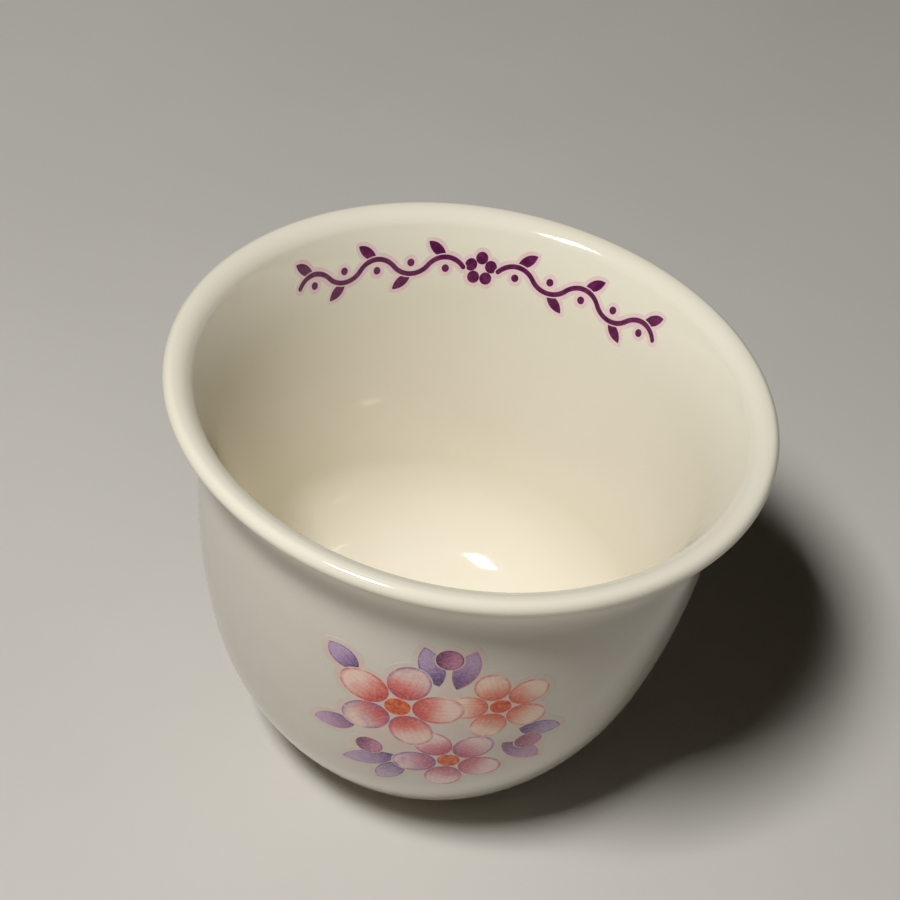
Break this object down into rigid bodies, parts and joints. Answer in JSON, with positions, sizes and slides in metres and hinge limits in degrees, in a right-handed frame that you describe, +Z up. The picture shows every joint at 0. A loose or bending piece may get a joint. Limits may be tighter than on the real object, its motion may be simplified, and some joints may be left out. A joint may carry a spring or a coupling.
{
  "type": "arabic coffee cup",
  "caption": "Small handleless coffee cup with a flared rolled lip, rounded belly and foot ring, glazed white, with a printed posy outside and a printed vine band inside.",
  "frame": {"origin": "middle of the foot's standing ring, on the surface the cup stands on", "axes": "+Z up along the cup's axis; the front print faces -Y; the inner band is on the +Y side"},
  "size_m": [0.066, 0.066, 0.051],
  "materials": {
    "clay": "bare fired white clay, matt",
    "outer_glaze": "glossy off-white glaze",
    "inner_glaze": "glossy cream glaze",
    "base_glaze": "glossy off-white glaze",
    "blush_ink": "pale blush on-glaze print",
    "coral_ink": "coral on-glaze print in washes",
    "peach_ink": "peach on-glaze print in washes",
    "rose_ink": "rose pink on-glaze print in washes",
    "orange_ink": "orange red on-glaze print",
    "plum_ink": "plum on-glaze print in washes",
    "violet_ink": "dusty violet on-glaze print in washes",
    "halo_ink": "pale pink on-glaze print",
    "aubergine_ink": "dark aubergine on-glaze print"
  },
  "bodies": {
    "root": {"biscuit_body": "clay", "outer_glaze": "outer_glaze", "inner_glaze": "inner_glaze", "base_glaze": "base_glaze", "posy_ground": "blush_ink", "posy_coral_petals": "coral_ink", "posy_peach_petals": "peach_ink", "posy_rose_petals": "rose_ink", "posy_stamens": "orange_ink", "posy_buds": "plum_ink", "posy_leaves": "violet_ink", "band_halo": "halo_ink", "band_stem": "aubergine_ink", "band_leaves": "aubergine_ink", "band_berries": "aubergine_ink", "band_blossom": "aubergine_ink"}
  },
  "joints": []
}
